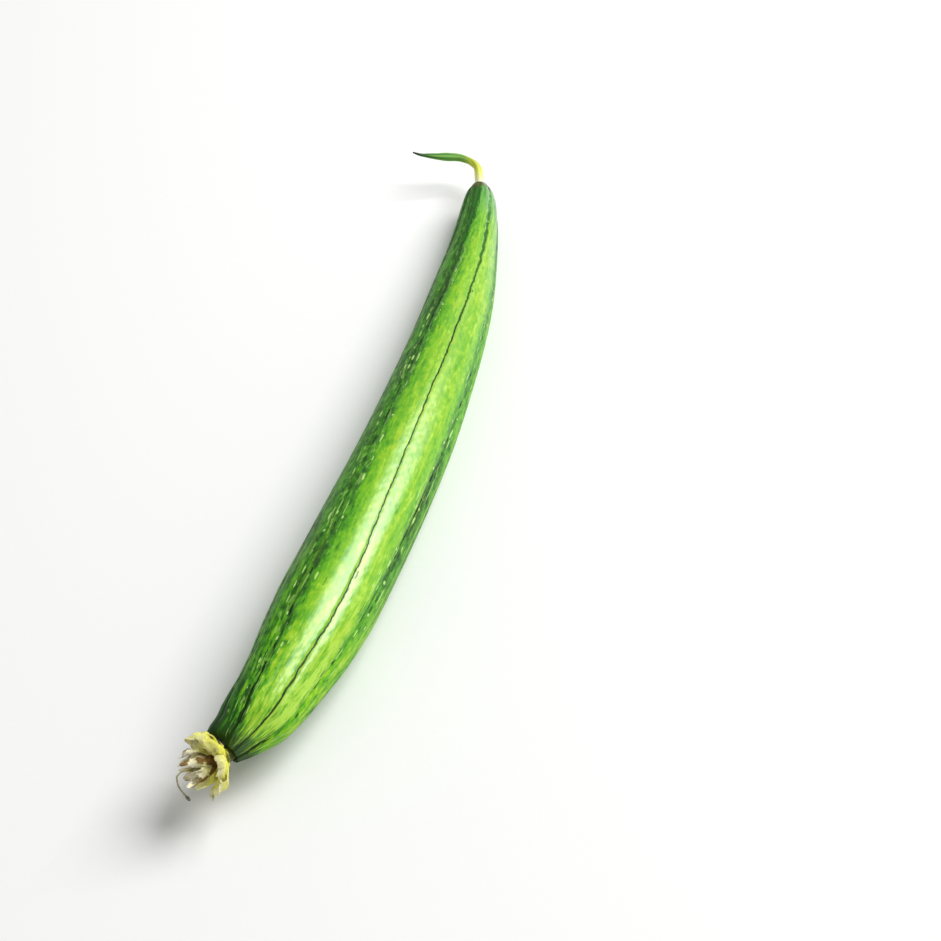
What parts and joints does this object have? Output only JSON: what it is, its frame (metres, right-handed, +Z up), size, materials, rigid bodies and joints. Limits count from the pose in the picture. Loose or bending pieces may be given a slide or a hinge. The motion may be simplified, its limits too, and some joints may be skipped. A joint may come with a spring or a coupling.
{
  "type": "sponge gourd",
  "caption": "Smooth sponge gourd, picked and lying on its side: a long bowed green fruit with lengthwise furrows, a hooked stem and a withered blossom.",
  "frame": {"origin": "middle of the small flat spot under the fruit that it rests on", "axes": "+Z up from the resting surface, +Y along the fruit towards the stem, -Y towards the blossom, +X the side the fruit bows to"},
  "size_m": [0.079, 0.4206, 0.0426],
  "materials": {
    "fruit": "waxy satin green skin with dark lengthwise lines and pale flecks",
    "stem": "soft matte, pale yellow at its root and dark green at its dried tip",
    "calyx": "soft matte yellow green",
    "petals": "papery, yellow at the root, cream and brown towards the torn edges",
    "style": "dry matte dark olive"
  },
  "bodies": {
    "root": {"fruit": "fruit", "stem": "stem", "calyx": "calyx", "petals": "petals", "style": "style"}
  },
  "joints": []
}
